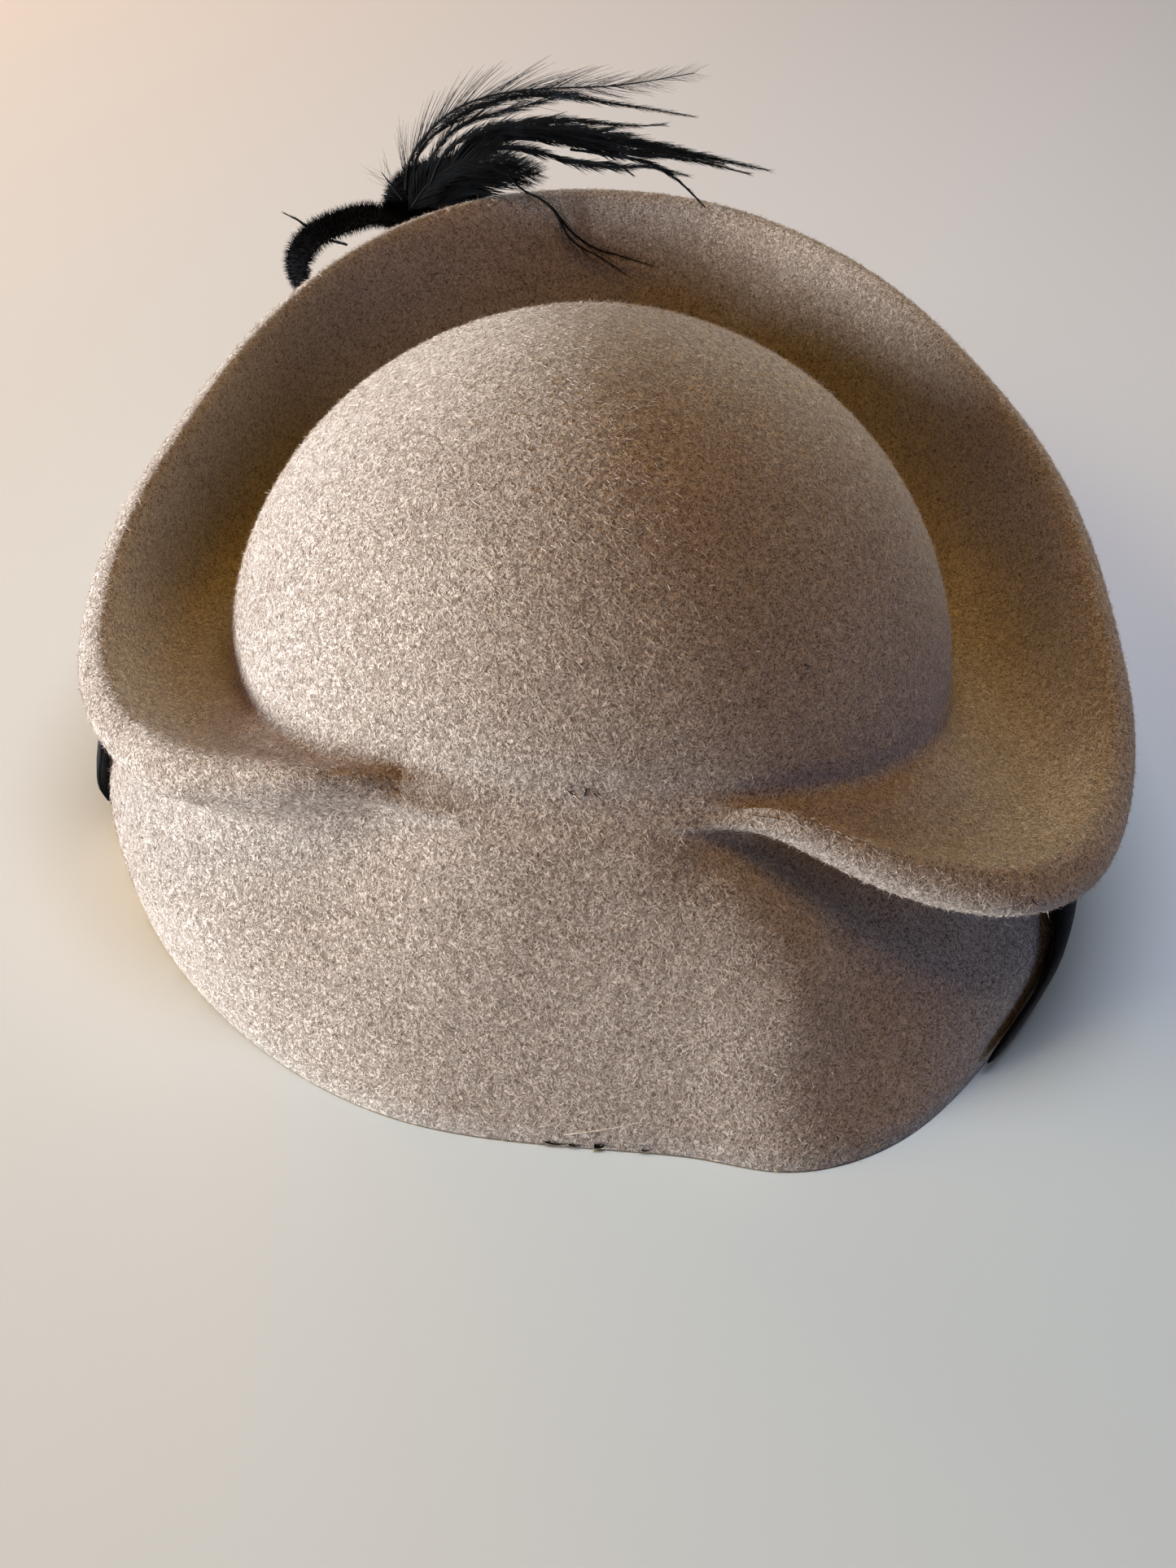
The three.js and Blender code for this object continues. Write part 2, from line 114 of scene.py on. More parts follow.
# %% A helper that adds nodes
def add_node(tree, kind, inputs=None, **options):
    """One node of a tree. Each input is given as a value, or as the socket that feeds it."""
    node = tree.nodes.new(kind)
    for name, value in options.items():
        setattr(node, name, value)
    for key, value in (inputs or {}).items():
        if isinstance(value, bpy.types.NodeSocket):
            tree.links.new(value, node.inputs[key])
        else:
            node.inputs[key].default_value = value
    return node


def color_ramp(tree, factor, stops, interpolation="LINEAR"):
    """A colour ramp. Each stop is a place from 0 to 1 and a colour."""
    ramp = add_node(tree, "ShaderNodeValToRGB", {"Fac": factor})
    ramp.color_ramp.interpolation = interpolation
    while len(ramp.color_ramp.elements) < len(stops):
        ramp.color_ramp.elements.new(1.0)
    for element, (place, color) in zip(ramp.color_ramp.elements, stops):
        element.position = place
        element.color = (*color, 1)
    return ramp.outputs["Color"]


def new_material(name):
    """An empty material, its tree, its main shader and its coordinates in metres on the object."""
    material = bpy.data.materials.new(name)
    material.use_nodes = True
    tree = material.node_tree
    shader = tree.nodes["Principled BSDF"]
    coordinates = add_node(tree, "ShaderNodeTexCoord").outputs["Object"]
    return material, tree, shader, coordinates


print("helpers ready")

# %% [markdown]
# ## The floor and the light
# The photograph is lit by low daylight from the left, almost level with the table, with a little warm
# light from above and a cool fill from the right. The pale ground turns from beige to grey. One set of
# lights for everything would be simplest. But the ground in the photograph is a wall that catches other
# light than the hat does, so each light here falls on the hat alone or on the floor alone, and either can
# be mended without the other.

# %% Lay the floor
floor_size = 6.0


def make_floor():
    mesh = bpy.data.meshes.new("floor")
    half = floor_size / 2
    corners = [(-half, -half, 0), (half, -half, 0), (half, half, 0), (-half, half, 0)]
    mesh.from_pydata(corners, [], [(0, 1, 2, 3)])
    floor = bpy.data.objects.new("floor", mesh)
    bpy.context.scene.collection.objects.link(floor)
    material, tree, shader, coordinates = new_material("pale_floor")
    shader.inputs["Roughness"].default_value = 0.9
    shader.inputs["Base Color"].default_value = (0.62, 0.59, 0.56, 1)
    mesh.materials.append(material)
    return floor


floor = make_floor()
print("floor:", floor_size, "m")

# %% Hang the lights
hat_middle = Vector((0, 0, 0.06))
light_distance = 1.3
lamp_power = 40.0
on_hat = bpy.data.collections.new("lit_on_the_hat")
on_floor = bpy.data.collections.new("lit_on_the_floor")
on_floor.objects.link(floor)


def make_light(name, way, height, strength, receivers):
    """A flat soft light in a direction from the hat, facing it. Strength is one number for each colour."""
    light = bpy.data.objects.new(name, bpy.data.lights.new(name, "AREA"))
    light.data.shape = "RECTANGLE"
    light.data.size = 1.0
    light.data.size_y = height
    light.data.energy = lamp_power * max(strength)
    light.data.color = [part / max(strength) for part in strength]
    place = hat_middle + Vector(way).normalized() * light_distance
    place.z = max(place.z, height / 2 + 0.005)
    light.location = place
    light.rotation_euler = (hat_middle - place).to_track_quat("-Z", "Y").to_euler()
    light.light_linking.receiver_collection = receivers
    bpy.context.scene.collection.objects.link(light)
    return light


make_light("key_left", (-0.99, -0.25, 0.05), 0.19, (1.33, 1.40, 1.42), on_hat)
make_light("fill_front", (0.0, 0.95, 0.35), 0.6, (0.38, 0.41, 0.36), on_hat)
make_light("warm_above", (0.0, 0.05, 1.0), 0.6, (0.17, 0.09, 0.01), on_hat)
make_light("warm_behind", (-0.65, -0.72, 0.25), 0.6, (0.05, 0.02, 0.01), on_hat)
make_light("cool_right", (0.97, -0.2, 0.2), 0.6, (0.045, 0.06, 0.10), on_hat)
make_light("cool_front_left", (-0.72, 0.66, 0.2), 0.6, (0.01, 0.03, 0.12), on_hat)
make_light("floor_left", (-0.75, -0.1, 0.65), 0.6, (0.23, 0.20, 0.10), on_floor)
make_light("floor_above", (0.0, 0.05, 1.0), 0.6, (0.27, 0.32, 0.40), on_floor)
make_light("floor_front_left", (-0.72, 0.66, 0.2), 0.6, (0.34, 0.19, 0.11), on_floor)

# The room looks pale behind the hat and yet sheds hardly any light on it.
room_seen = 0.6
room_light = 0.012
world = bpy.data.worlds.new("pale_room")
world.use_nodes = True
room = world.node_tree.nodes["Background"]
room.inputs["Color"].default_value = (0.8, 0.77, 0.74, 1)
is_seen = add_node(world.node_tree, "ShaderNodeLightPath").outputs["Is Camera Ray"]
glow = add_node(
    world.node_tree, "ShaderNodeMath", {0: is_seen, 1: room_seen, 2: room_light}, operation="MULTIPLY_ADD"
)
world.node_tree.links.new(glow.outputs[0], room.inputs["Strength"])
bpy.context.scene.world = world
bpy.context.scene.view_settings.view_transform = "Standard"

# %% [markdown]
# ## The felt body
# The real hat is one hood of fur felt, steamed over a block, so it has no seam anywhere and every edge is
# soft. The solid carries its true form in flat facets. It could be rebuilt from curves, but then two
# forms would have to be kept alike. A copy of the solid, with its triangles paired into squares, takes a
# subdivision surface instead: the facets melt into the curves that they were cut from, and the form stays
# the solid's.


# %% Smooth the felt
def copy_of_node(name):
    """A copy of a solid's mesh with its loose triangles merged and paired into four-sided faces."""
    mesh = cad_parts[name].data.copy()
    shape = bmesh.new()
    shape.from_mesh(mesh)
    bmesh.ops.remove_doubles(shape, verts=shape.verts, dist=0.00001)
    bmesh.ops.join_triangles(
        shape,
        faces=shape.faces,
        angle_face_threshold=math.radians(60),
        angle_shape_threshold=math.radians(60),
    )
    shape.to_mesh(mesh)
    shape.free()
    mesh.materials.clear()
    return mesh


def link_piece(name, mesh):
    """A new object for a finished mesh, among the things that the hat's lights fall on."""
    piece = bpy.data.objects.new(name, mesh)
    bpy.context.scene.collection.objects.link(piece)
    on_hat.objects.link(piece)
    return piece


def finished(piece, kind, **settings):
    """Applies one modifier to a piece and gives it the plain mesh that comes out."""
    modifier = piece.modifiers.new(kind.lower(), kind)
    for name, value in settings.items():
        setattr(modifier, name, value)
    bpy.context.view_layer.update()
    evaluated = piece.evaluated_get(bpy.context.evaluated_depsgraph_get())
    result = bpy.data.meshes.new_from_object(evaluated)
    piece.modifiers.clear()
    piece.data = result
    return piece


rim_sharpness = 0.75


def mark_lining_side(mesh):
    """Gives the faces inside the shell material 1, and keeps the cut edge that parts the two sides sharp."""
    shape = bmesh.new()
    shape.from_mesh(mesh)
    sharpness = shape.edges.layers.float.new("crease_edge")
    rim_height = 0.05 * millimetre
    rim = {face for face in shape.faces if all(corner.co.z < rim_height for corner in face.verts)}
    top = max(shape.faces, key=lambda face: face.calc_center_median().z)
    outside = {top}
    edge = [top]
    while edge:
        face = edge.pop()
        for other in {near for side in face.edges for near in side.link_faces} - outside - rim:
            outside.add(other)
            edge.append(other)
    for face in shape.faces:
        face.material_index = 0 if face in outside else 1
    for side in {side for face in rim for side in face.edges}:
        if any(face not in rim for face in side.link_faces):
            side[sharpness] = rim_sharpness
    shape.to_mesh(mesh)
    shape.free()


felt = link_piece("felt_body", copy_of_node("felt_hat"))
# One empty place for the outside's finish, and one for the inside's.
felt.data.materials.append(None)
felt.data.materials.append(None)
mark_lining_side(felt.data)
finished(felt, "SUBSURF", levels=2, render_levels=2)
felt.data.shade_smooth()
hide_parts("felt_hat")
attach(felt, "root")
print("smooth felt faces:", len(felt.data.polygons))

# %% [markdown]
# ## Creases that the hands left
# Where the brim is pinched to the crown, the felt keeps thin lips and sunken creases. They are one to
# three millimetres deep, too slight for the solid, but the low light draws each as a bright or a dark
# line. A sculpting brush would press them in by hand. Here each is a line of a few points, and the outer
# face is moved along its normals near it.

# %% Press in the creases
# Depths and widths are in millimetres, and a depth below zero sinks the felt.
creases = {
    "left_lip": {
        "depth": 0.9,
        "width": 2.8,
        "line": [(-93.8, -39.3, 45.8), (-74.5, -74.2, 60.8), (-59.9, -87.3, 65.1), (-36.4, -98.7, 69.2)],
    },
    "left_groove": {
        "depth": -0.9,
        "width": 2.8,
        "line": [(-88.2, -56.2, 51.5), (-74.3, -78.0, 60.1), (-61.0, -91.2, 65.6), (-36.7, -100.4, 67.4)],
    },
    "left_roll": {
        "depth": 2.6,
        "width": 5.5,
        "line": [(-106.0, -82.0, 60.5), (-89.0, -91.5, 63.0), (-68.0, -99.0, 67.5), (-44.0, -100.3, 69.0)],
    },
    "left_fold": {
        "depth": -2.2,
        "width": 3.5,
        "line": [(-91.2, -99.9, 57.0), (-80.7, -102.9, 59.2), (-71.5, -104.2, 61.4), (-42.0, -100.4, 66.5)],
    },
    "right_groove": {
        "depth": -1.3,
        "width": 3.2,
        "line": [(24.4, -100.3, 69.2), (38.7, -95.0, 67.8), (60.1, -81.9, 60.9), (78.7, -54.1, 52.2)],
    },
    "right_fold": {
        "depth": -1.4,
        "width": 4.5,
        "line": [(19.5, -103.9, 66.1), (40.4, -100.4, 53.2), (65.8, -101.8, 40.0), (80.0, -99.7, 33.6)],
    },
    "flap_ridge": {
        "depth": 2.6,
        "width": 9.5,
        "line": [(24.3, -108.4, 58.1), (46.5, -114.5, 45.0), (50.0, -120.0, 38.0), (49.0, -131.0, 22.0)],
    },
}


def line_samples(line, count=60):
    """Evenly strewn points on a line through a few corners, and how far along it each is."""
    corners = np.array(line) * millimetre
    along = np.linspace(0, 1, count)
    places = np.linspace(0, 1, len(corners))
    return np.stack([np.interp(along, places, corners[:, axis]) for axis in range(3)], axis=1), along


def outer_corners(mesh):
    """Which corners of the mesh belong to the outer face."""
    outer = np.zeros(len(mesh.vertices), bool)
    for face in mesh.polygons:
        if face.material_index == 0:
            outer[list(face.vertices)] = True
    return outer


def press_creases(mesh):
    """Moves the outer face along its normals near each crease, and gives the deepest move in millimetres."""
    spots = np.array([corner.co for corner in mesh.vertices])
    normals = np.array([corner.normal for corner in mesh.vertices])
    outer = outer_corners(mesh)
    shift = np.zeros(len(spots))
    for crease in creases.values():
        samples, along = line_samples(crease["line"])
        reach = np.linalg.norm(spots[:, None] - samples[None], axis=2)
        nearest = reach.argmin(axis=1)
        ease = np.sin(np.pi * along[nearest]) ** 0.5
        away = reach.min(axis=1) / (crease["width"] * millimetre)
        shift += crease["depth"] * ease * np.exp(-(away**2))
    moved = spots + normals * (shift * outer * millimetre)[:, None]
    mesh.vertices.foreach_set("co", moved.ravel())
    mesh.update()
    return np.abs(shift * outer).max()


print("deepest crease:", round(press_creases(felt.data), 2), "mm")

# %% [markdown]
# ## The felt's finish
# Velour felt is fur that was matted and then brushed: pale curly fibres, a millimetre or two long, lie
# over a darker matted ground. A picture of felt could be wrapped on, but it would stretch where the hat
# curves. Noise has lines of equal height, like a map, and each such line is a curly thread. Three maps of
# unlike scale are laid over each other, read in the object's own coordinates, so the fibres have one size
# all over the hat.


# %% Make the felt material
thread_layers = {700.0: 0.0, 950.0: 0.31, 1300.0: 0.74}
thread_width = 0.055
pale_fibre = (0.63, 0.55, 0.49)
dark_ground = (0.115, 0.088, 0.073)
light_ground = (0.225, 0.18, 0.155)


def curly_threads(tree, coordinates, scale, shift):
    """Thin curly lines: 1 on a thread and 0 between the threads."""
    place = add_node(tree, "ShaderNodeVectorMath", {0: coordinates, 1: (shift, shift, shift)}).outputs[0]
    height = add_node(
        tree, "ShaderNodeTexNoise", {"Vector": place, "Scale": scale, "Detail": 1.0, "Distortion": 0.9}
    ).outputs[0]
    middle = add_node(tree, "ShaderNodeMath", {0: height, 1: 0.5}, operation="SUBTRACT").outputs[0]
    away = add_node(tree, "ShaderNodeMath", {0: middle}, operation="ABSOLUTE").outputs[0]
    return add_node(
        tree,
        "ShaderNodeMapRange",
        {"Value": away, "From Min": 0.0, "From Max": thread_width, "To Min": 1.0, "To Max": 0.0},
        interpolation_type="SMOOTHSTEP",
    ).outputs[0]


def felt_material(name, lightness):
    """Pale threads over a matted ground. Lightness makes the threads darker where it is below 1."""
    material, tree, shader, coordinates = new_material(name)
    layers = [curly_threads(tree, coordinates, scale, shift) for scale, shift in thread_layers.items()]
    fibres = layers[0]
    for layer in layers[1:]:
        fibres = add_node(tree, "ShaderNodeMath", {0: fibres, 1: layer}, operation="MAXIMUM").outputs[0]
    clumps = add_node(
        tree, "ShaderNodeTexNoise", {"Vector": coordinates, "Scale": 800.0, "Detail": 2.0, "Roughness": 0.5}
    ).outputs[0]
    patches = add_node(
        tree, "ShaderNodeTexNoise", {"Vector": coordinates, "Scale": 24.0, "Detail": 3.0}
    ).outputs[0]
    ground = color_ramp(tree, clumps, [(0.36, dark_ground), (0.66, light_ground)])
    pale = add_node(tree, "ShaderNodeMath", {0: fibres, 1: 0.85}, operation="MULTIPLY").outputs[0]
    fibre_color = (*(part * lightness for part in pale_fibre), 1)
    threads = add_node(
        tree, "ShaderNodeMix", {0: pale, 6: ground, 7: fibre_color}, data_type="RGBA"
    ).outputs[2]
    tint = color_ramp(tree, patches, [(0.32, (0.9, 0.88, 0.87)), (0.68, (1.08, 1.09, 1.1))])
    color = add_node(
        tree, "ShaderNodeMix", {0: 1.0, 6: threads, 7: tint}, data_type="RGBA", blend_type="MULTIPLY"
    ).outputs[2]
    tree.links.new(color, shader.inputs["Base Color"])
    hollows = add_node(
        tree, "ShaderNodeBump", {"Height": patches, "Strength": 1.0, "Distance": 1.6 * millimetre}
    ).outputs[0]
    matted = add_node(
        tree,
        "ShaderNodeBump",
        {"Height": clumps, "Strength": 0.5, "Distance": 0.4 * millimetre, "Normal": hollows},
    ).outputs[0]
    brushed = add_node(
        tree,
        "ShaderNodeBump",
        {"Height": fibres, "Strength": 0.7, "Distance": 0.25 * millimetre, "Normal": matted},
    ).outputs[0]
    tree.links.new(brushed, shader.inputs["Normal"])
    shader.inputs["Roughness"].default_value = 0.95
    shader.inputs["Specular IOR Level"].default_value = 0.2
    shader.inputs["Sheen Weight"].default_value = 0.35
    shader.inputs["Sheen Roughness"].default_value = 0.45
    shader.inputs["Sheen Tint"].default_value = (1.0, 0.93, 0.86, 1)
    return material


velour = felt_material("taupe_velour_felt", 1.0)
raw_felt = felt_material("unbrushed_felt_inside", 0.8)
felt.data.materials[0] = velour
felt.data.materials[1] = raw_felt
print("felt materials:", velour.name, raw_felt.name)

# %% [markdown]
# ## Velvet, and the pile on it
# Band and bow are cut from black velvet. Its pile stands up, so it swallows light where it is seen from
# above and shows a faint grey bloom where it is seen from the side. The sheen part of the main shader
# does just that. A shader can't roughen an outline, though, so the bow gets real pile: Geometry Nodes
# strew thousands of short tapered hairs over it. The same tree will later lay the felt's nap, with other
# numbers.


# %% Make the velvet material
def velvet_material():
    """Black cloth whose pile catches a little light at its edges."""
    material, tree, shader, coordinates = new_material("black_velvet_pile")
    pile = add_node(
        tree, "ShaderNodeTexNoise", {"Vector": coordinates, "Scale": 1400.0, "Detail": 2.0}
    ).outputs[0]
    crushed = add_node(
        tree, "ShaderNodeTexNoise", {"Vector": coordinates, "Scale": 120.0, "Detail": 2.0}
    ).outputs[0]
    color = color_ramp(tree, crushed, [(0.35, (0.004, 0.004, 0.0045)), (0.7, (0.007, 0.007, 0.0085))])
    tree.links.new(color, shader.inputs["Base Color"])
    bump = add_node(tree, "ShaderNodeBump", {"Height": pile, "Strength": 0.6, "Distance": 0.4 * millimetre})
    tree.links.new(bump.outputs["Normal"], shader.inputs["Normal"])
    shader.inputs["Roughness"].default_value = 1.0
    shader.inputs["Specular IOR Level"].default_value = 0.05
    shader.inputs["Sheen Weight"].default_value = 0.25
    shader.inputs["Sheen Roughness"].default_value = 0.3
    shader.inputs["Sheen Tint"].default_value = (0.6, 0.66, 0.75, 1)
    return material


velvet = velvet_material()
print("velvet material:", velvet.name)


# %% A tree that grows hairs
def node_group(name, sizes):
    """An empty Geometry Nodes tree with a named input for each size."""
    tree = bpy.data.node_groups.new(name, "GeometryNodeTree")
    tree.interface.new_socket("Geometry", in_out="INPUT", socket_type="NodeSocketGeometry")
    for size, kind in sizes.items():
        tree.interface.new_socket(size, in_out="INPUT", socket_type="NodeSocket" + kind)
    tree.interface.new_socket("Geometry", in_out="OUTPUT", socket_type="NodeSocketGeometry")
    return tree, add_node(tree, "NodeGroupInput").outputs, add_node(tree, "NodeGroupOutput").inputs


def run_group(source, tree, values):
    """The plain mesh that a tree makes of an object. Each input is set through its socket's identifier."""
    modifier = source.modifiers.new("grown", "NODES")
    modifier.node_group = tree
    for socket in tree.interface.items_tree:
        if socket.in_out == "INPUT" and socket.name in values:
            modifier[socket.identifier] = values[socket.name]
    bpy.context.view_layer.update()
    evaluated = source.evaluated_get(bpy.context.evaluated_depsgraph_get())
    mesh = bpy.data.meshes.new_from_object(evaluated)
    source.modifiers.remove(modifier)
    return mesh


def hair_tree():
    """Strews tapered hairs over a surface. Lay is how far a hair leans: 0 stands up and 1 lies down."""
    numbers = dict.fromkeys(("Density", "Length", "Width", "Lay"), "Float")
    tree, given, result = node_group("strewn_hairs", {**numbers, "Seed": "Int", "Finish": "Material"})
    strewn = add_node(
        tree,
        "GeometryNodeDistributePointsOnFaces",
        {"Mesh": given["Geometry"], "Density": given["Density"], "Seed": given["Seed"]},
    )
    hair = add_node(
        tree, "GeometryNodeMeshCone", {"Vertices": 3, "Radius Top": 0.0, "Radius Bottom": 0.5, "Depth": 1.0}
    ).outputs["Mesh"]
    aside = add_node(
        tree,
        "FunctionNodeRandomValue",
        {0: (-1, -1, -1), 1: (1, 1, 1), "Seed": given["Seed"]},
        data_type="FLOAT_VECTOR",
    ).outputs[0]
    normal = strewn.outputs["Normal"]
    stand = add_node(tree, "ShaderNodeMath", {0: 1.0, 1: given["Lay"]}, operation="SUBTRACT").outputs[0]
    upright = add_node(
        tree, "ShaderNodeVectorMath", {0: normal, "Scale": stand}, operation="SCALE"
    ).outputs[0]
    along = add_node(
        tree, "ShaderNodeVectorMath", {0: aside, 1: normal}, operation="CROSS_PRODUCT"
    ).outputs[0]
    flat = add_node(
        tree, "ShaderNodeVectorMath", {0: along, "Scale": given["Lay"]}, operation="SCALE"
    ).outputs[0]
    lean = add_node(tree, "ShaderNodeVectorMath", {0: upright, 1: flat}, operation="ADD").outputs[0]
    turn = add_node(tree, "FunctionNodeAlignRotationToVector", {"Vector": lean}, axis="Z").outputs[0]
    spread = add_node(
        tree, "FunctionNodeRandomValue", {2: 0.6, 3: 1.25, "Seed": given["Seed"]}, data_type="FLOAT"
    ).outputs[1]
    long = add_node(tree, "ShaderNodeMath", {0: spread, 1: given["Length"]}, operation="MULTIPLY").outputs[0]
    scale = add_node(
        tree, "ShaderNodeCombineXYZ", {0: given["Width"], 1: given["Width"], 2: long}
    ).outputs[0]
    hairs = add_node(
        tree,
        "GeometryNodeInstanceOnPoints",
        {"Points": strewn.outputs["Points"], "Instance": hair, "Rotation": turn, "Scale": scale},
    ).outputs[0]
    real = add_node(tree, "GeometryNodeRealizeInstances", {0: hairs}).outputs[0]
    coated = {"Geometry": real, "Material": given["Finish"]}
    finish = add_node(tree, "GeometryNodeSetMaterial", coated).outputs[0]
    tree.links.new(finish, result[0])
    return tree


hairs = hair_tree()
print("hair tree nodes:", len(hairs.nodes))

# %% [markdown]
# ## The band and the bow
# The band is sewn flat under the brim, so a smoothed copy of its solid is enough. The bow is a ribbon
# loop and a bound knot, whose outline is all pile. Its hairs are joined to the ribbon, because they
# belong to one cloth.


# %% Sew on the band
def dressed(piece, node):
    """Hides the solid that a finished piece stands for, and makes the piece ride on the root."""
    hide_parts(node)
    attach(piece, "root")
    return piece


def joined(name, meshes):
    """Several meshes as one object."""
    shape = bmesh.new()
    for mesh in meshes:
        shape.from_mesh(mesh)
    whole = bpy.data.meshes.new(name)
    shape.to_mesh(whole)
    shape.free()
    for material in meshes[0].materials:
        whole.materials.append(material)
    return link_piece(name, whole)


band = link_piece("band_under_brim", copy_of_node("velvet_band"))
finished(band, "SUBSURF", levels=1, render_levels=1)
band.data.materials.append(velvet)
band.data.shade_smooth()
dressed(band, "velvet_band")
print("band faces:", len(band.data.polygons))

# %% Tie the bow
ribbon = link_piece("ribbon", copy_of_node("velvet_bow"))
finished(ribbon, "SUBSURF", levels=1, render_levels=1)
ribbon.data.materials.append(velvet)
ribbon.data.shade_smooth()
pile_values = {
    "Density": 5.0e6,
    "Length": 2.2 * millimetre,
    "Width": 0.22 * millimetre,
    "Lay": 0.35,
    "Seed": 3,
    "Finish": velvet,
}
pile = run_group(ribbon, hairs, pile_values)
bow = joined("bow_of_velvet", [ribbon.data, pile])
bpy.data.objects.remove(ribbon)
dressed(bow, "velvet_bow")
print("bow faces:", len(bow.data.polygons))

# %% [markdown]
# ## The feathers
# Each feather is a curved shaft with barbs down both sides. Barbs could be painted on a flat leaf, but
# light falls between real ones and their tips fray the outline. So each shaft is a curve through a few
# points, and Geometry Nodes set a bent, tapered barb at every step along it, once for each side.

# %% Plan the feathers
spray_low, spray_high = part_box("feather_spray")
quill_root = Vector((spray_low.x + 0.009, (spray_low.y + spray_high.y) / 2, spray_low.z + 0.009))

# Each path runs from the quill to the tip, in millimetres from the root: across to the right, forward, up.
# Barb is the longest barb, and base is the share of it that the barbs at the root have. Angle is how far a
# barb leans from the shaft, in degrees. Count is the barbs on each side, and width is one barb's.
feathers = [
    {"barb": 19, "angle": 21, "count": 230, "width": 0.22, "base": 0.85,
     "path": [(-13, 0, 1), (-12, 0, 9), (-7, 0, 18), (1, 0, 26),
              (11, 0, 31), (24, 0, 34), (48, 0, 37), (69, 0, 42)]},
    {"barb": 7, "angle": 16, "count": 250, "width": 0.34, "base": 0.5,
     "path": [(-11, 1, 1), (-9, 1, 12), (0, 1, 22), (12, 1, 29), (24, 1, 32), (49, 1, 31), (70, 1, 29)]},
    {"barb": 9, "angle": 18, "count": 190, "width": 0.26, "base": 0.6,
     "path": [(-8, 2, 4), (-4, 2, 13), (3, 2, 21), (15, 2, 26), (24, 2, 29), (36, 2, 33)]},
    {"barb": 7, "angle": 17, "count": 260, "width": 0.36, "base": 0.6,
     "path": [(-6, -1, 3), (-1, -1, 14), (9, -1, 21), (19, -1, 24),
              (29, -1, 26), (54, -1, 26), (62, -1, 27)]},
    {"barb": 10, "angle": 15, "count": 380, "width": 0.36, "base": 0.5,
     "path": [(-4, 2, 3), (1, 2, 11), (9, 2, 17), (22, 2, 21), (34, 2, 20), (65, 2, 18), (93, 2, 14)]},
    {"barb": 8, "angle": 15, "count": 340, "width": 0.36, "base": 0.5,
     "path": [(-3, 3, 3), (6, 3, 14), (20, 3, 19), (36, 3, 18), (52, 3, 16), (70, 3, 15), (88, 3, 12)]},
    {"barb": 7, "angle": 16, "count": 270, "width": 0.36, "base": 0.5,
     "path": [(3, 1, 9), (13, 1, 15), (25, 1, 15), (35, 1, 13), (48, 1, 12), (58, 1, 13), (70, 1, 11)]},
    {"barb": 4.5, "angle": 14, "count": 170, "width": 0.4, "base": 0.6,
     "path": [(35, 2, 16), (50, 2, 15), (60, 2, 13), (67, 2, 9), (76, 2, 1)]},
    {"barb": 4, "angle": 16, "count": 110, "width": 0.36, "base": 0.6,
     "path": [(30, 3, 13), (42, 3, 12), (49, 3, 12), (54, 3, 9)]},
    {"barb": 12, "angle": 17, "count": 380, "width": 0.4, "base": 0.6,
     "path": [(-2, 1, 4), (8, 1, 18), (24, 1, 22), (40, 1, 22), (58, 1, 20), (76, 1, 17)]},
    {"barb": 11, "angle": 18, "count": 320, "width": 0.4, "base": 0.6,
     "path": [(2, 4, 5), (14, 4, 16), (30, 4, 18), (48, 4, 16), (66, 4, 16), (80, 4, 14)]},
    {"barb": 14, "angle": 32, "count": 320, "width": 0.42, "base": 0.9,
     "path": [(-6, 2, -5), (2, 2, 2), (12, 2, 6), (26, 2, 8)]},
    {"barb": 12, "angle": 35, "count": 280, "width": 0.42, "base": 0.9,
     "path": [(-12, -1, -5), (-5, -1, 5), (6, -1, 12), (19, -1, 14)]},
    {"barb": 11, "angle": 28, "count": 220, "width": 0.3, "base": 0.8,
     "path": [(-2, 1, 0), (6, 1, 6), (16, 1, 10), (26, 1, 10)]},
    {"barb": 9, "angle": 26, "count": 220, "width": 0.26, "base": 0.8,
     "path": [(-6, 0, 1), (2, 0, 10), (14, 0, 16), (26, 0, 17)]},
    {"barb": 13, "angle": 30, "count": 8, "width": 0.16, "base": 1.0,
     "path": [(-14, 0, -2), (-17, 0, 2), (-20, 0, 6)]},
    {"barb": 3.5, "angle": 14, "count": 80, "width": 0.25, "base": 0.8,
     "path": [(-31, 0, -18), (-39, 0, -16), (-46, 0, -11), (-50, 0, -9)]},
    {"barb": 11, "angle": 13, "count": 70, "width": 0.17, "base": 0.5,
     "path": [(10, 1, 9), (15, 1, 9), (21, 0, 4), (30, 0, -1),
              (37, -3, -10), (47, -4, -15), (54, -5, -19)]},
    {"barb": 8, "angle": 13, "count": 50, "width": 0.16, "base": 0.7,
     "path": [(30, 0, -1), (37, -2, -8), (44, -3, -12), (52, -3, -14), (62, -4, -16)]},
]


def shaft_curve(name, path, start):
    """A smooth curve through points that are given in millimetres from a start."""
    curve = bpy.data.curves.new(name, "CURVE")
    curve.dimensions = "3D"
    curve.resolution_u = 16
    spline = curve.splines.new("BEZIER")
    spline.bezier_points.add(len(path) - 1)
    for knot, point in zip(spline.bezier_points, path):
        knot.co = start + Vector(point) * millimetre
        knot.handle_left_type = knot.handle_right_type = "AUTO"
    return link_piece(name, curve)


print("feathers:", len(feathers), "from", [round(v, 4) for v in quill_root])


